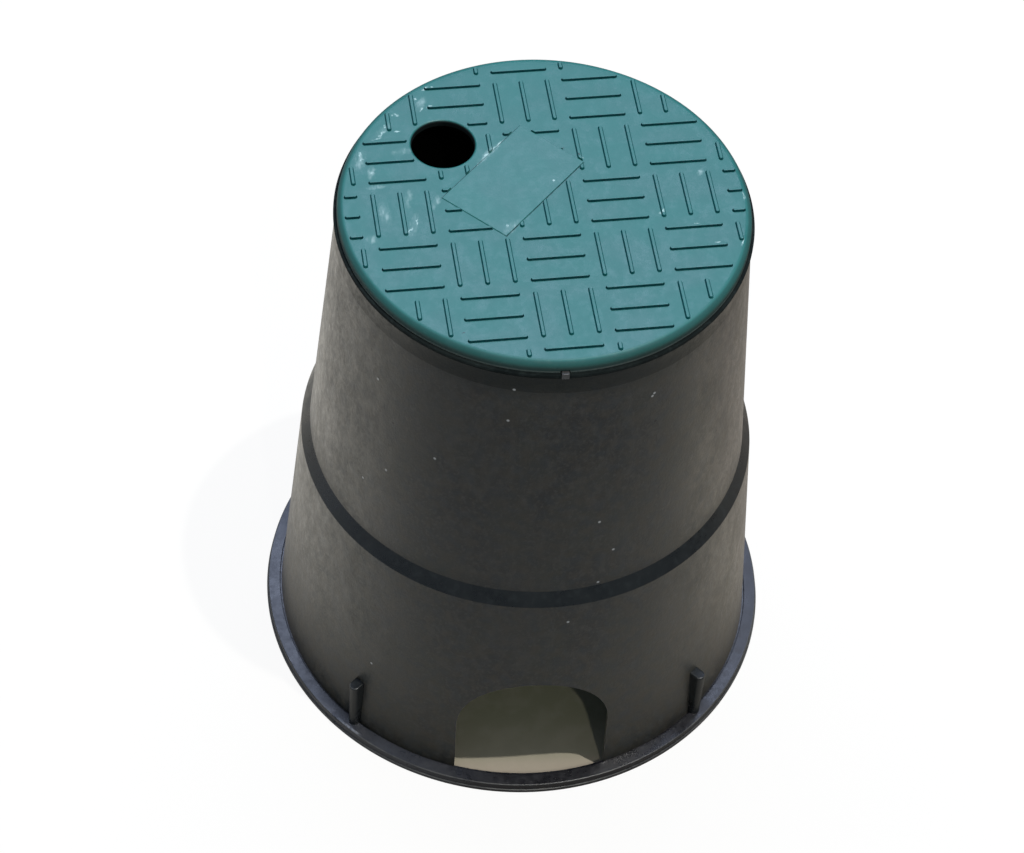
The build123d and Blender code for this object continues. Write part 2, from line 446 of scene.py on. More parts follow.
def smooth_black(name, darker, lighter, gloss, roughness=0.32, relief_depth=0.014 * mm, painted_side_light=None):
    """The smoother black of shoulder, rim, ring and posts. Given a painted side light, its left, and less
    its right, take a lighter bluish tone that paints the light from the sides, and the rubbed edge is added.
    """
    material, tree, shader, place = new_finish(name)
    cloud = patches(tree, place, 12, 3)
    mottle = patches(tree, place, 2.4, 4, (1, 1, 0.8), shift=17)
    grain = patches(tree, place, 0.8, 3, shift=5)
    tone = blend(tree, fade(tree, cloud, 0.35, 0.65), darker, lighter)
    tone = blend(tree, fade(tree, mottle, 0.5, 0.72, 0, 0.4), tone, [2 * level for level in lighter])
    if painted_side_light:
        # Painted light: a lighter bluish tone on the left, and less on the right, where light from the sides
        # falls.
        x = axis(tree, place, "X")
        tone = blend(tree, fade(tree, x, -6, -50), tone, painted_side_light)
        tone = blend(tree, fade(tree, x, 68, 95, 0, 0.6), tone, painted_side_light)
        tone = blend(tree, rubbed_edge(tree, place), tone, (0.17, 0.18, 0.20))
    tree.links.new(tone, shader.inputs["Base Color"])
    rough = fade(tree, cloud, 0.3, 0.7, roughness - 0.05, roughness + 0.05)
    rough = maths(tree, "ADD", rough, fade(tree, grain, 0.3, 0.7, -0.02, 0.02))
    rough = maths(tree, "ADD", rough, fade(tree, mottle, 0.35, 0.65, -0.03, 0.05))
    tree.links.new(rough, shader.inputs["Roughness"])
    shader.inputs["Specular IOR Level"].default_value = gloss
    relief(tree, shader, maths(tree, "ADD", grain, mottle), relief_depth)
    return material


def pad_foot_shade(tree, place):
    """The thin line of painted shade around the pad's foot, as a mask. It is strong along the pad's long
    sides.
    """
    x = axis(tree, place, "X")
    y = axis(tree, place, "Y")
    turn = diagonal + lid_turn
    along = maths(tree, "ADD", maths(tree, "MULTIPLY", x, math.cos(turn)),
                  maths(tree, "MULTIPLY", y, math.sin(turn)))
    aside = maths(tree, "SUBTRACT", maths(tree, "MULTIPLY", y, math.cos(turn)),
                  maths(tree, "MULTIPLY", x, math.sin(turn)))
    gaps = []
    for value, middle, size in ((along, pad_distance, pad_width), (aside, pad_shift, pad_length)):
        off = maths(tree, "ABSOLUTE", maths(tree, "SUBTRACT", value, middle / mm))
        gaps.append(maths(tree, "SUBTRACT", off, size / 2 / mm))
    line = fade(tree, maths(tree, "ABSOLUTE", maths(tree, "MAXIMUM", *gaps)), 0.28, 0.1)
    on_long_edges = fade(tree, maths(tree, "SUBTRACT", *gaps), -0.3, 0.3, 0.15, 1.0)
    return maths(tree, "MULTIPLY", line, on_long_edges)


def green_moulding(name, base, lighter, smoothest, roughest):
    """The lid's green: blotchy, dusty in patches, scuffed, with painted highlights, a satin sheen that comes
    and goes, and painted shade on its edge, in the finger hole and around the pad's foot.
    """
    material, tree, shader, place = new_finish(name)
    cloud = patches(tree, place, 18, 4, shift=2)
    blotch = patches(tree, place, 5, 4, (1, 0.7, 1), shift=9)
    fine = patches(tree, place, 1.7, 3, shift=14)
    grain = patches(tree, place, 0.8, 2, shift=4)
    tone = blend(tree, fade(tree, cloud, 0.35, 0.65), base, lighter)
    dusty = fade(tree, maths(tree, "ADD", blotch, fine), 0.98, 1.3, 0, 0.4)
    tone = blend(tree, dusty, tone, (0.045, 0.190, 0.185))
    ragged = wander(tree, place, 1.6, 1.3)
    streaky = fade(tree, patches(tree, place, 2.2, 4, (1.2, 0.35, 1), shift=6), 0.42, 0.64, 0.2, 1.0)
    hazy = maths(tree, "MULTIPLY", smears(tree, ragged, lid_smears), streaky)
    tone = blend(tree, hazy, tone, (0.25, 0.42, 0.40))
    # Painted highlights and bright scuffs on the lid's top.
    broken = fade(tree, patches(tree, place, 0.7, 2, (1.2, 0.5, 1), shift=8), 0.36, 0.56, 0.3, 1.0)
    bright = maths(tree, "MULTIPLY", smears(tree, ragged, lid_highlights_and_scuffs), broken)
    tone = blend(tree, bright, tone, (0.52, 0.76, 0.72))
    tone = blend(tree, smears(tree, ragged, lid_nicks), tone, (0.002, 0.015, 0.015))
    # Painted shade in a thin broken line around the pad's foot.
    pad_shade = maths(tree, "MULTIPLY", pad_foot_shade(tree, place), fade(tree, blotch, 0.36, 0.6, 0.3, 0.9))
    tone = blend(tree, pad_shade, tone, (0.003, 0.045, 0.047))
    above = maths(tree, "SUBTRACT", axis(tree, place, "Z"), lid_top / mm)
    edge_start = lid_radius / mm - 5
    on_edge = fade(tree, from_middle(tree, place), edge_start, edge_start + 1.5)
    # Painted light on the lid's rounded edge: shade over the start of the rounding and down the side below
    # it, and a thin highlight along the lip at its foot.
    for top, bottom, amount, painted_light_tone in (
        (-0.1, -0.55, 0.5, (0.010, 0.050, 0.044)),
        (-1.1, -3.0, 0.75, (0.014, 0.030, 0.026)),
        (-3.5, -4.1, 0.8, (0.115, 0.145, 0.135)),
    ):
        band = maths(tree, "MULTIPLY", on_edge, fade(tree, above, top, bottom, 0, amount))
        tone = blend(tree, band, tone, painted_light_tone)
    # Painted shade on the finger hole's wall.
    hole_x, hole_y = turned(*hole_place(), lid_turn)
    from_hole = distance(tree, place, (hole_x / mm, hole_y / mm, lid_top / mm))
    hole_shade = fade(tree, from_hole, hole_radius / mm + 0.6, hole_radius / mm + 0.4)
    hole_shade = maths(tree, "MULTIPLY", hole_shade, fade(tree, above, -0.05, -0.5))
    tone = blend(tree, hole_shade, tone, (0.001, 0.007, 0.007))
    tree.links.new(tone, shader.inputs["Base Color"])
    rough = fade(tree, maths(tree, "ADD", cloud, blotch), 0.75, 1.25, smoothest - 0.02, roughest + 0.03)
    rough = maths(tree, "ADD", rough, fade(tree, fine, 0.35, 0.65, -0.04, 0.04))
    dull = maths(tree, "MAXIMUM", hole_shade, maths(tree, "MULTIPLY", on_edge, fade(tree, above, -0.02, -0.3)))
    rough = maths(tree, "ADD", rough, fade(tree, dull, 0, 1, 0, 0.28))
    tree.links.new(rough, shader.inputs["Roughness"])
    shader.inputs["Specular IOR Level"].default_value = 0.5
    texture = maths(tree, "ADD", maths(tree, "ADD", grain, fine), blotch)
    relief(tree, shader, texture, 0.03 * mm)
    return material


def rib_side_green(name, darker, lighter):
    """The duller green of the ribs' sides, in a darker tone that is painted shade; a lighter copy paints the
    sides where more light falls.
    """
    material, tree, shader, place = new_finish(name)
    fine = patches(tree, place, 1.7, 3, shift=14)
    tone = blend(tree, fade(tree, fine, 0.35, 0.65), darker, lighter)
    tree.links.new(tone, shader.inputs["Base Color"])
    shader.inputs["Roughness"].default_value = 0.6
    shader.inputs["Specular IOR Level"].default_value = 0.12
    return material


def turned(x, y, angle):
    """A point turned about the middle by an angle."""
    return x * math.cos(angle) - y * math.sin(angle), x * math.sin(angle) + y * math.cos(angle)


def hole_place():
    """The middle of the finger hole in the lid's own pattern."""
    return hole_distance * math.cos(diagonal), hole_distance * math.sin(diagonal)


wall_finish = textured_black("black_textured", 0.5)
collar_finish = textured_black("black_collar", 0.25)
# Painted shade: the inside of the box is nearly black, darker than the moulding, for the shade inside it.
inner_finish = smooth_black("black_inside", (0.002, 0.002, 0.002), (0.003, 0.003, 0.003), 0.1)
edge_finish = smooth_black("black_smooth", (0.008, 0.010, 0.011), (0.012, 0.015, 0.016), 0.5)
# The ring's bluish side tone is painted light from the sides.
ring_finish = smooth_black(
    "black_ring", (0.006, 0.006, 0.009), (0.010, 0.010, 0.014), 0.6,
    relief_depth=0.004 * mm, painted_side_light=(0.033, 0.036, 0.046),
)
# A lighter black that paints the highlight on eased edges, on the ring's and posts' tops and on the lug.
edge_highlight_finish = smooth_black("black_edge_highlight", (0.060, 0.060, 0.060), (0.085, 0.085, 0.082), 0.5)
# The rim ledge's lighter, dull tone is painted light that stands in for the light it catches.
ledge_finish = smooth_black(
    "black_ledge", (0.011, 0.015, 0.015), (0.018, 0.024, 0.023), 0.02, roughness=0.7
)
# Painted shade and painted light: a darker copy of the ribs' side green, and a lighter copy for ribs along
# Y.
shaded_side_finish = rib_side_green("green_rib_shaded", (0.001, 0.038, 0.044), (0.002, 0.060, 0.064))
lit_side_finish = rib_side_green("green_rib_lit", (0.005, 0.088, 0.094), (0.008, 0.120, 0.122))
lid_finish = green_moulding("green_moulding", (0.015, 0.156, 0.141), (0.019, 0.176, 0.160), 0.33, 0.43)
# The pad's green is a little lighter, painted light for the stronger reflection from its smoother face.
pad_finish = green_moulding("green_pad", (0.022, 0.168, 0.152), (0.027, 0.188, 0.170), 0.33, 0.41)


# Modelling by hand: selection helpers

def set_finish(piece, *finishes):
    """Give a new piece its finishes. The first is on all its faces."""
    piece.data.materials.clear()
    for finish in finishes:
        piece.data.materials.append(finish)
    return piece


def deselect_all():
    """Nothing stays selected, so that an operator acts on the new piece alone."""
    bpy.ops.object.select_all(action="DESELECT")


def open_for_editing(piece):
    """Edit mode on one piece, with nothing of it selected."""
    deselect_all()
    piece.select_set(True)
    bpy.context.view_layer.objects.active = piece
    bpy.ops.object.mode_set(mode="EDIT")
    bpy.ops.mesh.select_all(action="DESELECT")


def close_editing():
    """Back to object mode."""
    bpy.ops.object.mode_set(mode="OBJECT")


def select_where(piece, kind, test):
    """In edit mode, select what passes a test, which gets a vertex's place, an edge or a face."""
    bpy.ops.mesh.select_mode(type=kind)
    bpy.ops.mesh.select_all(action="DESELECT")
    mesh = bmesh.from_edit_mesh(piece.data)
    if kind == "VERT":
        chosen = [vertex for vertex in mesh.verts if test(vertex.co)]
    elif kind == "EDGE":
        chosen = [edge for edge in mesh.edges if test(edge)]
    else:
        chosen = [face for face in mesh.faces if test(face)]
    for element in chosen:
        element.select_set(True)
    mesh.select_flush_mode()
    bmesh.update_edit_mesh(piece.data)


def finish_selected(piece, finish):
    """In edit mode, give the selected faces one of the piece's finishes."""
    piece.active_material_index = piece.data.materials.find(finish.name)
    bpy.ops.object.material_slot_assign()


def from_axis(point):
    """How far a point of a piece is from the box's upright axis."""
    return math.hypot(point.x, point.y)


def apply_place(piece):
    """The piece's place goes into its mesh, and its object back to the origin."""
    deselect_all()
    piece.select_set(True)
    bpy.context.view_layer.objects.active = piece
    bpy.ops.object.transform_apply(location=True, rotation=True, scale=True)
    return piece


def join(pieces, name):
    """Several pieces as one object."""
    deselect_all()
    for piece in pieces:
        piece.select_set(True)
    bpy.context.view_layer.objects.active = pieces[0]
    bpy.ops.object.join()
    joined = bpy.context.object
    joined.name = name
    joined.data.name = name
    return joined


def cut(piece, cutter):
    """Cut one piece out of another, and put the cutter away."""
    modifier = piece.modifiers.new("cut", "BOOLEAN")
    modifier.operation = "DIFFERENCE"
    modifier.solver = "EXACT"
    modifier.object = cutter
    deselect_all()
    piece.select_set(True)
    bpy.context.view_layer.objects.active = piece
    bpy.ops.object.modifier_apply(modifier=modifier.name)
    bpy.data.objects.remove(cutter)
    return piece


def smooth(piece):
    """Smooth shading except over sharp edges, with flat faces left flat."""
    deselect_all()
    piece.select_set(True)
    bpy.context.view_layer.objects.active = piece
    bpy.ops.object.shade_smooth_by_angle(angle=sharpest_smooth)
    weighted = piece.modifiers.new("flat faces stay flat", "WEIGHTED_NORMAL")
    weighted.keep_sharp = True
    bpy.ops.object.modifier_apply(modifier=weighted.name)
    return piece


# Turned shells

def rounded(corners):
    """An outline of (radius, height, rounding) corners with its rounded corners as arcs."""
    outline = []
    for number, (radius, height, rounding) in enumerate(corners):
        here = Vector((radius, height))
        if rounding == 0:
            outline.append(here)
            continue
        before = Vector(corners[number - 1][:2]) - here
        after = Vector(corners[(number + 1) % len(corners)][:2]) - here
        before.normalize()
        after.normalize()
        half_angle = before.angle(after) / 2
        middle = here + (before + after).normalized() * rounding / math.sin(half_angle)
        first = here + before * rounding / math.tan(half_angle) - middle
        last = here + after * rounding / math.tan(half_angle) - middle
        for step in range(rounding_steps + 1):
            along = step / rounding_steps
            arm = first.slerp(last, along)
            outline.append(middle + arm.normalized() * rounding)
    return outline


def turn_shell(name, corners):
    """Raise a ring of vertices from corner to corner of an outline, scaling it on the way, and close it."""
    outline = rounded(corners)
    deselect_all()
    bpy.ops.mesh.primitive_circle_add(
        vertices=segments, radius=outline[0].x, location=(0, 0, outline[0].y)
    )
    piece = apply_place(bpy.context.object)
    piece.name = name
    bpy.ops.object.mode_set(mode="EDIT")
    bpy.ops.mesh.select_mode(type="VERT")
    bpy.ops.mesh.select_all(action="SELECT")
    here = outline[0]
    for corner in outline[1:] + outline[:1]:
        rise = (0, 0, corner.y - here.y)
        bpy.ops.mesh.extrude_region_move(TRANSFORM_OT_translate={"value": rise})
        spread = corner.x / here.x
        bpy.ops.transform.resize(value=(spread, spread, 1), center_override=(0, 0, corner.y))
        here = corner
    bpy.ops.mesh.select_all(action="SELECT")
    bpy.ops.mesh.remove_doubles(threshold=0.01 * mm)
    bpy.ops.mesh.normals_make_consistent(inside=False)
    close_editing()
    return piece


def turn_disc(name, corners):
    """A turned shell that is closed by a flat cap at its first and at its last corner."""
    outline = rounded(corners)
    deselect_all()
    bpy.ops.mesh.primitive_circle_add(
        vertices=segments, radius=outline[0].x, fill_type="NGON", location=(0, 0, outline[0].y)
    )
    piece = apply_place(bpy.context.object)
    piece.name = name
    bpy.ops.object.mode_set(mode="EDIT")
    bpy.ops.mesh.select_mode(type="EDGE")
    bpy.ops.mesh.select_all(action="SELECT")
    bpy.ops.mesh.region_to_loop()
    here = outline[0]
    for corner in outline[1:]:
        rise = (0, 0, corner.y - here.y)
        bpy.ops.mesh.extrude_edges_move(TRANSFORM_OT_translate={"value": rise})
        spread = corner.x / here.x
        bpy.ops.transform.resize(value=(spread, spread, 1), center_override=(0, 0, corner.y))
        here = corner
    bpy.ops.mesh.edge_face_add()
    bpy.ops.mesh.select_all(action="SELECT")
    bpy.ops.mesh.normals_make_consistent(inside=False)
    close_editing()
    return piece


# The box

def wall_shell():
    """The wall as a closed shell: lower cone, shoulder, upper cone, collar and rim, and its inside."""
    rim_foot = rim_height - rim_band
    groove_radius = neck_radius - groove_depth
    groove_top = rim_foot + groove_height
    return turn_shell("box_moulding", [
        (foot_radius - wall, 0, 0),
        (foot_radius, 0, 0),
        (shoulder_radius, shoulder_height, shoulder_rounding),
        (upper_foot_radius, upper_foot_height, shoulder_rounding),
        (neck_radius, neck_height, 0),
        (neck_radius, rim_foot - groove_slope, 0),
        (groove_radius, rim_foot, 0),
        (groove_radius, groove_top, 0),
        (rim_radius, groove_top + bead_slope, 0),
        (rim_radius, rim_height, rim_rounding),
        (rim_bore, rim_height, bore_rounding),
        (rim_bore, neck_height, 0),
        (upper_foot_radius - wall, upper_foot_height, shoulder_rounding),
        (shoulder_radius - wall, shoulder_height, shoulder_rounding),
    ])


def notch_cutter():
    """An arched bar along Y, as wide as a notch, that runs through the whole box."""
    arch_radius = notch_width / 2
    spring = notch_height - arch_radius
    drop = spring + 10 * mm
    reach = 1.3 * foot_radius
    deselect_all()
    bpy.ops.mesh.primitive_circle_add(
        vertices=arch_segments, radius=arch_radius, fill_type="NGON",
        location=(0, -reach, spring), rotation=(math.radians(90), 0, 0),
    )
    cutter = apply_place(bpy.context.object)
    open_for_editing(cutter)
    select_where(cutter, "VERT", lambda place: place.z < spring - 0.1 * mm)
    bpy.ops.transform.translate(value=(0, 0, -drop))
    bpy.ops.mesh.select_all(action="SELECT")
    bpy.ops.mesh.extrude_region_move(TRANSFORM_OT_translate={"value": (0, 2 * reach, 0)})
    bpy.ops.mesh.select_all(action="SELECT")
    bpy.ops.mesh.normals_make_consistent(inside=False)
    close_editing()
    return cutter


def ease_notches(piece):
    """Break the sharp edges that the notches leave on the wall, and give them the lighter finish that paints
    their highlight.
    """
    open_for_editing(piece)
    margin = 1 * mm
    top = notch_height + margin
    side = notch_width / 2 + margin
    sharpest_left = math.radians(50)
    select_where(piece, "VERT", lambda place: place.z < top and abs(place.x) < side)
    bpy.ops.mesh.remove_doubles(threshold=0.08 * mm)

    def sharp(edge):
        middle = (edge.verts[0].co + edge.verts[1].co) / 2
        if middle.z > top or abs(middle.x) > side or middle.z < 0.05 * mm:
            return False
        return len(edge.link_faces) == 2 and edge.calc_face_angle(0) > sharpest_left

    select_where(piece, "EDGE", sharp)
    bpy.ops.mesh.bevel(offset=notch_bevel, segments=3, clamp_overlap=True)
    finish_selected(piece, edge_highlight_finish)
    close_editing()


def foot_ring():
    """The flat ring around the base, with its lip and its gutter."""
    inner = foot_radius - ring_root
    side_radius = ring_radius - lip_width
    gutter_edge = foot_radius + gutter_width
    return turn_shell("foot_ring", [
        (inner, 0, 0),
        (ring_radius, 0, lip_rounding),
        (ring_radius, lip_height, lip_rounding),
        (side_radius, lip_height + lip_slope, lip_root_rounding),
        (side_radius, ring_height - ring_fall, ring_edge_rounding),
        (gutter_edge, ring_height, gutter_rounding),
        (gutter_edge, ring_height - gutter_depth, 0),
        (inner, ring_height - gutter_depth, 0),
    ])


def post(angle):
    """One half-round post against the wall, with an eased top."""
    half = post_width / 2
    centre = foot_radius + post_reach - half
    back = shoulder_radius
    foot = ring_height - gutter_depth
    height = post_top - foot
    slack = 0.01 * mm
    deselect_all()
    bpy.ops.mesh.primitive_cylinder_add(
        vertices=post_segments, radius=half, depth=height, location=(centre, 0, foot + height / 2)
    )
    piece = apply_place(bpy.context.object)
    open_for_editing(piece)
    for side in (-1, 1):
        select_where(
            piece, "VERT", lambda place: place.x < centre - 0.2 * mm and (place.y < 0) == (side < 0)
        )
        bpy.ops.transform.resize(value=(0, 0, 1), center_override=(back, side * half, 0))
    bpy.ops.mesh.select_all(action="SELECT")
    bpy.ops.mesh.remove_doubles(threshold=slack)

    def around_top(edge):
        on_top = all(abs(vertex.co.z - post_top) < slack for vertex in edge.verts)
        return on_top and max(vertex.co.x for vertex in edge.verts) > back + 1 * mm

    select_where(piece, "EDGE", around_top)
    bpy.ops.mesh.bevel(offset=post_bevel, segments=4)
    bpy.ops.mesh.select_all(action="SELECT")
    bpy.ops.mesh.normals_make_consistent(inside=False)
    close_editing()
    piece.rotation_euler = (0, 0, math.radians(angle))
    return apply_place(piece)


def lug_block(out, height, size):
    """A block at the lug's place on the rim, its middle some way out and up."""
    deselect_all()
    bpy.ops.mesh.primitive_cube_add(
        size=1, location=(out * math.sin(lug_turn), -out * math.cos(lug_turn), height),
        rotation=(0, 0, lug_turn), scale=size,
    )
    return apply_place(bpy.context.object)


def locating_lug():
    """The small block on the rim."""
    root = rim_band
    piece = lug_block(
        rim_radius + lug_reach - lug_depth / 2, rim_height + (lug_height - root) / 2,
        (lug_width, lug_depth, lug_height + root),
    )
    open_for_editing(piece)
    bpy.ops.mesh.select_all(action="SELECT")
    bpy.ops.mesh.bevel(offset=lug_bevel, segments=3)
    close_editing()
    return piece


def highlight_edges(piece):
    """The rounded outer edge of a ring's or post's top gets the lighter finish that paints its highlight."""
    open_for_editing(piece)
    flat_start = foot_radius + gutter_width + 0.5 * mm

    def on_edge(face):
        return 0.6 < face.normal.z < 0.98 and from_axis(face.calc_center_median()) > flat_start

    select_where(piece, "FACE", on_edge)
    finish_selected(piece, edge_highlight_finish)
    close_editing()


def finish_wall(piece):
    """Give shoulder, rim ledge, collar and inside finishes of their own. The cones keep the first."""
    skin = wall / 2
    rim_foot = rim_height - rim_band

    def on_shoulder(face):
        middle = face.calc_center_median()
        outside = from_axis(middle) > upper_foot_radius - skin
        return outside and shoulder_height < middle.z < upper_foot_height

    def on_ledge(face):
        return face.calc_center_median().z > rim_foot

    def on_collar(face):
        middle = face.calc_center_median()
        outside = from_axis(middle) > neck_radius - skin
        return outside and neck_height < middle.z < rim_height - rim_band / 2

    def inside(face):
        middle = face.calc_center_median()
        outward = middle.x * face.normal.x + middle.y * face.normal.y
        return outward < -0.5 * from_axis(middle) and middle.z < rim_foot

    open_for_editing(piece)
    for finish, test in (
        (edge_finish, on_shoulder),
        (ledge_finish, on_ledge),
        (collar_finish, on_collar),
        (inner_finish, inside),
    ):
        select_where(piece, "FACE", test)
        finish_selected(piece, finish)
    close_editing()


def make_box():
    """The one-piece box in place of its CAD node."""
    shell = cut(wall_shell(), notch_cutter())
    set_finish(shell, wall_finish, edge_finish, edge_highlight_finish, ledge_finish, collar_finish, inner_finish)
    finish_wall(shell)
    ease_notches(shell)
    details = [set_finish(foot_ring(), ring_finish, edge_highlight_finish)]
    for angle in post_angles:
        details.append(set_finish(post(angle), edge_finish, edge_highlight_finish))
    for detail in details:
        highlight_edges(detail)
    details.append(set_finish(locating_lug(), edge_highlight_finish))
    return smooth(join([shell] + details, "box_moulding"))


# The lid

def in_pad(x, y, margin):
    """Whether a point of the lid's top is on the pad or within a margin around it."""
    outward = x * math.cos(diagonal) + y * math.sin(diagonal)
    sideways = y * math.cos(diagonal) - x * math.sin(diagonal)
    across = abs(outward - pad_distance) < pad_width / 2 + margin
    along = abs(sideways - pad_shift) < pad_length / 2 + margin
    return across and along


def meets_pad(start, end):
    """Whether any point along a rib's two sides lies on the pad or within its margin."""
    half = rib_width / 2
    run = Vector(end) - Vector(start)
    ahead = run.normalized() * half
    side = Vector((-ahead.y, ahead.x))
    steps = 40
    for step in range(steps + 1):
        middle = Vector(start) - ahead + (run + 2 * ahead) * step / steps
        if in_pad(*(middle + side), pad_margin) or in_pad(*(middle - side), pad_margin):
            return True
    return False


def rib_fits(x, y):
    """Whether a rib's centre line may pass a point of the lid's top."""
    half = rib_width / 2
    inside_edge = math.hypot(x, y) < lid_radius - rib_edge_margin - half
    clear_of_hole = math.dist((x, y), hole_place()) > hole_radius + hole_margin + half
    return inside_edge and clear_of_hole and not in_pad(x, y, -rib_width)


def rib_runs(x, y, along_x):
    """The stretches of one rib, centred on a point, that lie clear of edge, hole and pad."""
    reach = (rib_length - rib_width) / 2
    steps = 200
    runs = []
    run = []
    for step in range(steps + 1):
        place = reach * (2 * step / steps - 1)
        point = (x + place, y) if along_x else (x, y + place)
        if rib_fits(*point):
            run.append(point)
        if run and (step == steps or not rib_fits(*point)):
            runs.append((run[0], run[-1]))
            run = []
    return [(start, end) for start, end in runs if math.dist(start, end) > shortest_rib - rib_width]


def basket_runs():
    """All rib stretches: blocks of parallel ribs that change direction from block to block."""
    blocks = math.ceil(lid_radius / block_pitch)
    middle = (ribs_per_block - 1) / 2
    runs = []
    for column in range(-blocks, blocks + 1):
        for row in range(-blocks, blocks + 1):
            along_x = (column + row) % 2 == 1
            for number in range(ribs_per_block):
                offset = (number - middle) * rib_spacing
                x = column * block_pitch + (0 if along_x else offset)
                y = row * block_pitch + (offset if along_x else 0)
                runs += rib_runs(x, y, along_x)
    return runs


def master_rib():
    """One rib of full length along X, with round ends, sloping sides and an eased top, to copy from."""
    half = rib_width / 2
    slack = 0.01 * mm
    deselect_all()
    bpy.ops.mesh.primitive_cube_add(
        size=1, location=(0, 0, -rib_root / 2), scale=(rib_length, rib_width, rib_root)
    )
    rib = apply_place(bpy.context.object)
    open_for_editing(rib)
    select_where(rib, "EDGE", lambda edge: abs(edge.verts[0].co.z - edge.verts[1].co.z) > rib_root / 2)
    bpy.ops.mesh.bevel(offset=half - 2 * slack, segments=5)
    height = 0
    inset = 0
    for next_height, next_inset in rib_profile:
        select_where(rib, "FACE", lambda face: face.calc_center_median().z > height - slack)
        bpy.ops.mesh.extrude_region_move(TRANSFORM_OT_translate={"value": (0, 0, next_height - height)})
        narrowing = (half - next_inset) / (half - inset)
        for side in (-1, 1):
            select_where(
                rib, "VERT", lambda place: place.z > next_height - slack and place.x * side > 0
            )
            bpy.ops.transform.resize(
                value=(narrowing, narrowing, 1),
                center_override=(side * (rib_length / 2 - half), 0, next_height),
            )
        height = next_height
        inset = next_inset
    set_finish(rib, lid_finish, shaded_side_finish)
    select_where(rib, "FACE", lambda face: abs(face.normal.z) < 0.8)
    finish_selected(rib, shaded_side_finish)
    close_editing()
    return rib


def place_rib(master, start, end):
    """A copy of the full rib with its ends moved to a stretch, set on the lid's top."""
    rib = master.copy()
    rib.data = master.data.copy()
    bpy.context.scene.collection.objects.link(rib)
    shift = (math.dist(start, end) + rib_width - rib_length) / 2
    open_for_editing(rib)
    for side in (-1, 1):
        select_where(rib, "VERT", lambda place: place.x * side > 0)
        bpy.ops.transform.translate(value=(side * shift, 0, 0))
    close_editing()
    rib.location = ((start[0] + end[0]) / 2, (start[1] + end[1]) / 2, lid_top)
    rib.rotation_euler = (0, 0, math.atan2(end[1] - start[1], end[0] - start[0]))
    return rib


def pad_block(margin, low, high):
    """A block as long and as wide as the pad and a margin, between two heights."""
    across = Vector((math.cos(diagonal), math.sin(diagonal)))
    along = Vector((-math.sin(diagonal), math.cos(diagonal)))
    middle = across * pad_distance + along * pad_shift
    deselect_all()
    bpy.ops.mesh.primitive_cube_add(
        size=1, location=(middle.x, middle.y, (low + high) / 2), rotation=(0, 0, diagonal),
        scale=(pad_width + 2 * margin, pad_length + 2 * margin, high - low),
    )
    return apply_place(bpy.context.object)


def pad():
    """The plain raised rectangle between the finger hole and the middle."""
    piece = pad_block(0, lid_top - 0.5 * mm, lid_top + pad_height)
    open_for_editing(piece)
    select_where(piece, "EDGE", lambda edge: min(v.co.z for v in edge.verts) > lid_top)
    bpy.ops.mesh.bevel(offset=pad_bevel, segments=1)
    close_editing()
    return piece


def lid_shell():
    """The lid's plate with its rounded edge and its skirt."""
    skirt_bore = skirt_radius - skirt_wall
    return turn_disc("lid_moulding", [
        (skirt_bore, lid_top - lid_plate, 0),
        (skirt_bore, skirt_foot, bore_rounding),
        (skirt_radius, skirt_foot, skirt_rounding),
        (skirt_radius, rim_height, 0),
        (lid_radius, rim_height, brim_rounding),
        (lid_radius, lid_top, lid_rounding),
        (lid_radius - 2 * lid_rounding, lid_top, 0),
    ])


def underside():
    """The stiffening web under the plate."""
    ceiling = lid_top - lid_plate / 2
    foot = lid_top - lid_plate - web_depth
    ring = turn_shell("web_ring", [
        (web_ring_radius - web_wall, foot, bore_rounding),
        (web_ring_radius, foot, bore_rounding),
        (web_ring_radius, ceiling, 0),
        (web_ring_radius - web_wall, ceiling, 0),
    ])
    parts = [ring]
    inner = web_ring_radius - web_wall / 2
    outer = skirt_radius - skirt_wall / 2
    out = (inner + outer) / 2
    for number in range(web_arms):
        turn = number * 2 * math.pi / web_arms
        deselect_all()
        bpy.ops.mesh.primitive_cube_add(
            size=1, location=(out * math.cos(turn), out * math.sin(turn), (ceiling + foot) / 2),
            rotation=(0, 0, turn), scale=(outer - inner, web_wall, ceiling - foot),
        )
        parts.append(apply_place(bpy.context.object))
    return parts


def round_cutter(radius, low, high):
    """An upright cylinder at the finger hole."""
    deselect_all()
    bpy.ops.mesh.primitive_cylinder_add(
        vertices=hole_segments, radius=radius, depth=high - low,
        location=(*hole_place(), (low + high) / 2),
    )
    return apply_place(bpy.context.object)


def ease_hole(piece, height):
    """Round the finger hole's edge at a height."""
    def on_edge(edge):
        return all(
            abs(vertex.co.z - height) < 0.02 * mm
            and abs(math.dist(vertex.co[:2], hole_place()) - hole_radius) < 0.1 * mm
            for vertex in edge.verts
        )

    open_for_editing(piece)
    select_where(piece, "EDGE", on_edge)
    bpy.ops.mesh.bevel(offset=hole_rounding, segments=6)
    close_editing()


def lug_recess_cutter():
    """The room for the locating lug in the lid's edge."""
    depth = lug_depth + lug_clearance
    height = lug_height + lug_clearance
    out = rim_radius + lug_reach - depth / 2
    return lug_block(out, rim_height, (lug_width + 2 * lug_clearance, depth, 2 * height))


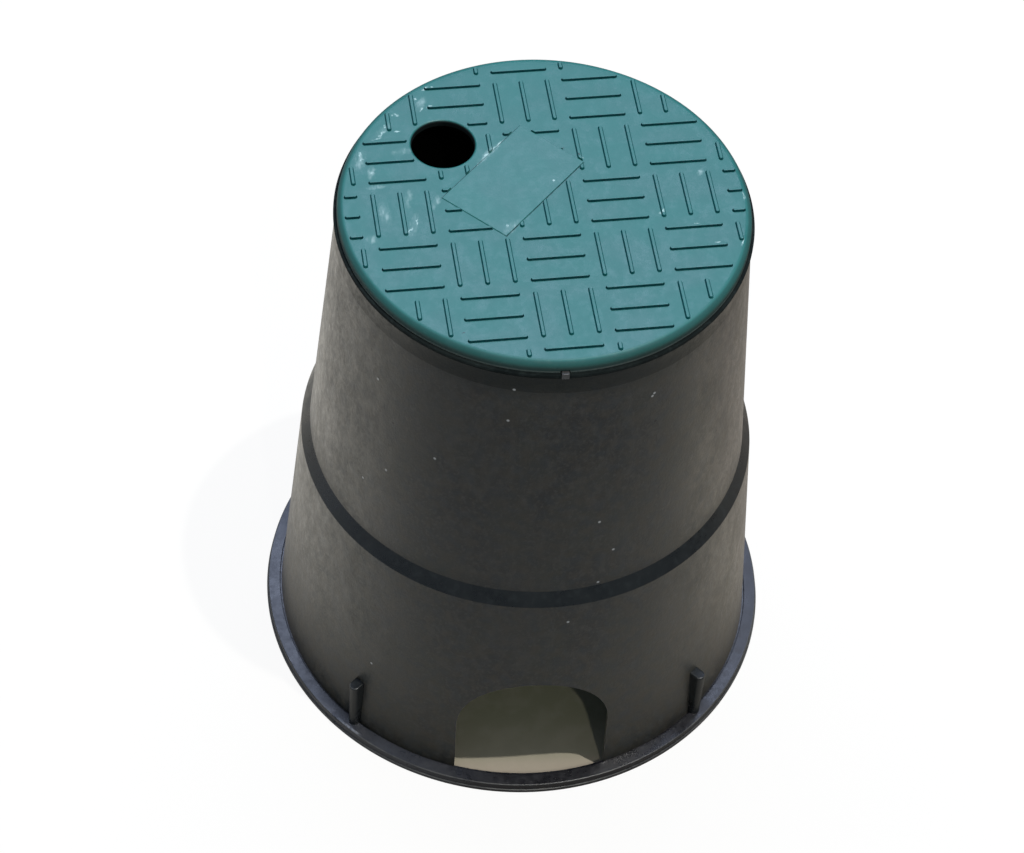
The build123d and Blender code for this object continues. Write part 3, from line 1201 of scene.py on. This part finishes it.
def make_lid():
    """The lid in place of its CAD node: plate, underside, ribs and pad, turned a little as it was put on."""
    far = 10 * mm
    plate = cut(lid_shell(), round_cutter(hole_radius, skirt_foot - far, rib_top + far))
    ease_hole(plate, lid_top)
    master = master_rib()
    side_slot = master.data.materials.find(shaded_side_finish.name)
    parts = underside()
    for part in [plate] + parts:
        set_finish(part, lid_finish)
    for start, end in basket_runs():
        rib = place_rib(master, start, end)
        # Ribs along Y take the lighter, painted-lit copy of the sides' green.
        if abs(end[1] - start[1]) > abs(end[0] - start[0]):
            rib.data.materials[side_slot] = lit_side_finish
        parts.append(rib)
        if meets_pad(start, end):
            cut(rib, pad_block(pad_margin, lid_top - far, rib_top + far))
    bpy.data.objects.remove(master)
    parts.append(set_finish(pad(), pad_finish))
    details = join(parts, "lid_details")
    for piece in (plate, details):
        apply_place(piece)
        piece.rotation_euler = (0, 0, lid_turn)
        apply_place(piece)
    cut(plate, lug_recess_cutter())
    return smooth(join([plate, details], "lid_moulding"))


box_piece = make_box()
lid_piece = make_lid()
for piece, node in ((box_piece, "box"), (lid_piece, "lid")):
    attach(piece, "root")
    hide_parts(node)


def aim(lamp, place, target):
    """Set a lamp at a place, pointing at a target, unseen by the camera."""
    bpy.context.scene.collection.objects.link(lamp)
    lamp.location = place
    lamp.rotation_euler = (Vector(target) - Vector(place)).to_track_quat("-Z", "Y").to_euler()
    lamp.visible_camera = False
    return lamp


def soft_light(name, place, target, width, height, radiance, colour):
    """A rectangular soft box with an even radiance."""
    light = bpy.data.lights.new(name, "AREA")
    light.shape = "RECTANGLE"
    light.size = width
    light.size_y = height
    light.energy = radiance * math.pi * width * height
    light.color = colour
    return aim(bpy.data.objects.new(name, light), place, target)


def small_light(name, azimuth, elevation, strength, spread, colour):
    """A distant small light from a direction, with its spread in degrees."""
    light = bpy.data.lights.new(name, "SUN")
    light.energy = strength
    light.angle = math.radians(spread)
    light.color = colour
    side = math.radians(azimuth)
    rise = math.radians(elevation)
    place = (math.sin(side) * math.cos(rise), -math.cos(side) * math.cos(rise), math.sin(rise))
    return aim(bpy.data.objects.new(name, light), place, (0, 0, 0))


def make_floor():
    """A pale floor that shows white, in painted tones of light and shade that the black walls mirror from
    the front and sides.
    """
    deselect_all()
    bpy.ops.mesh.primitive_circle_add(vertices=128, radius=6, fill_type="NGON")
    floor = bpy.context.object
    floor.name = "floor"
    material, tree, shader, place = new_finish("floor_white")
    shader.inputs["Base Color"].default_value = (0.75, 0.72, 0.66, 1)
    shader.inputs["Roughness"].default_value = 0.9
    shader.inputs["Specular IOR Level"].default_value = 0
    white = tree.nodes.new("ShaderNodeEmission")
    path = tree.nodes.new("ShaderNodeLightPath")
    mix = tree.nodes.new("ShaderNodeMixShader")
    reflected = maths(tree, "MAXIMUM", path.outputs["Is Glossy Ray"], path.outputs["Is Transmission Ray"])
    seen = maths(tree, "MAXIMUM", path.outputs["Is Camera Ray"], reflected)
    shown = maths(tree, "MULTIPLY", seen, 0.88)
    x = axis(tree, place, "X")
    y = axis(tree, place, "Y")
    radius = from_middle(tree, place)
    right_front, right_middle, right_back = (0.84, 0.77, 0.64), (0.54, 0.48, 0.41), (0.40, 0.35, 0.29)
    left, front, left_far = (1.15, 1.11, 1.00), (0.22, 0.23, 0.24), (0.6, 0.68, 0.8)
    shade = (0.02, 0.02, 0.02)
    # Painted light and shade on the floor as the walls mirror it: lighter on the left and right, painted
    # shade in front, painted shadow close around the box and beyond about 0.3 m, and a painted bluish sky
    # tone far to the left.
    right = blend(tree, fade(tree, y, -25, 30), right_front, right_middle)
    right = blend(tree, fade(tree, y, 40, 120), right, right_back)
    sides = blend(tree, fade(tree, x, 0, -120), right, left)
    sheet = blend(tree, fade(tree, y, -190, -10), front, sides)
    sheet = blend(tree, fade(tree, radius, 280, 420, 0, 0.7), sheet, shade)
    sheet = blend(tree, fade(tree, radius, 145, 103, 0, 0.75), sheet, shade)
    sheet = blend(tree, fade(tree, x, -600, -900), sheet, left_far)
    tree.links.new(blend(tree, path.outputs["Is Camera Ray"], sheet, (1, 1, 1)), white.inputs["Color"])
    white.inputs["Strength"].default_value = 1.04
    tree.links.new(shown, mix.inputs["Fac"])
    tree.links.new(shader.outputs["BSDF"], mix.inputs[1])
    tree.links.new(white.outputs["Emission"], mix.inputs[2])
    tree.links.new(mix.outputs["Shader"], tree.nodes["Material Output"].inputs["Surface"])
    floor.data.materials.append(material)


def make_inner_ground():
    """The ground that the notches show inside the box, with painted light: lightest in a strip at the front
    notch and darker deeper inside.
    """
    deselect_all()
    bpy.ops.mesh.primitive_circle_add(
        vertices=128, radius=foot_radius + 0.1 * mm, fill_type="NGON", location=(0, 0, 0.2 * mm)
    )
    ground = apply_place(bpy.context.object)
    ground.name = "inner_ground"
    material, tree, shader, place = new_finish("ground_cream")
    y = axis(tree, place, "Y")
    uneven = patches(tree, place, 9, 4)
    at_notch, behind_notch, deep_inside = (0.48, 0.42, 0.33), (0.38, 0.355, 0.26), (0.30, 0.30, 0.20)
    # Painted light: a lit strip at the front notch, and painted shade further in.
    tone = blend(tree, fade(tree, y, -91, -84), at_notch, behind_notch)
    tone = blend(tree, fade(tree, y, -86, -60), tone, deep_inside)
    tone = blend(tree, fade(tree, uneven, 0.4, 0.65, 0, 0.12), tone, (0.62, 0.54, 0.44))
    tree.links.new(tone, shader.inputs["Base Color"])
    shader.inputs["Roughness"].default_value = 0.9
    ground.data.materials.append(material)


def make_world():
    """A soft bluish sky that lights the object, and that the camera sees as white."""
    world = bpy.data.worlds.new("studio")
    world.use_nodes = True
    tree = world.node_tree
    surface = tree.nodes["Background"]
    surface.inputs["Color"].default_value = (0.42, 0.5, 0.6, 1)
    surface.inputs["Strength"].default_value = 0.4
    white = tree.nodes.new("ShaderNodeBackground")
    white.inputs["Color"].default_value = (1, 1, 1, 1)
    path = tree.nodes.new("ShaderNodeLightPath")
    mix = tree.nodes.new("ShaderNodeMixShader")
    tree.links.new(path.outputs["Is Camera Ray"], mix.inputs["Fac"])
    tree.links.new(surface.outputs["Background"], mix.inputs[1])
    tree.links.new(white.outputs["Background"], mix.inputs[2])
    tree.links.new(mix.outputs["Shader"], tree.nodes["World Output"].inputs["Surface"])
    bpy.context.scene.world = world


def make_camera():
    """The camera that the picture is taken with."""
    lens = bpy.data.cameras.new("camera")
    lens.lens = camera_lens
    lens.sensor_width = camera_sensor
    lens.clip_start = 0.05
    holder = bpy.data.objects.new("camera", lens)
    bpy.context.scene.collection.objects.link(holder)
    holder.location = camera_place
    holder.rotation_euler = camera_turns
    bpy.context.scene.camera = holder


make_floor()
make_inner_ground()
make_world()
make_camera()
small_light("overhead", azimuth=70, elevation=74, strength=1.48, spread=1.0, colour=(1, 0.98, 0.94))
small_light("front_low", azimuth=10, elevation=51, strength=0.34, spread=1.5, colour=(1, 0.97, 0.87))
soft_light(
    "back", place=(-0.02, 1.0, 1.85), target=(0, 0, 0.2), width=1.6, height=1.2,
    radiance=4.2, colour=(0.66, 0.75, 1),
)
bpy.context.scene.view_settings.view_transform = "Standard"
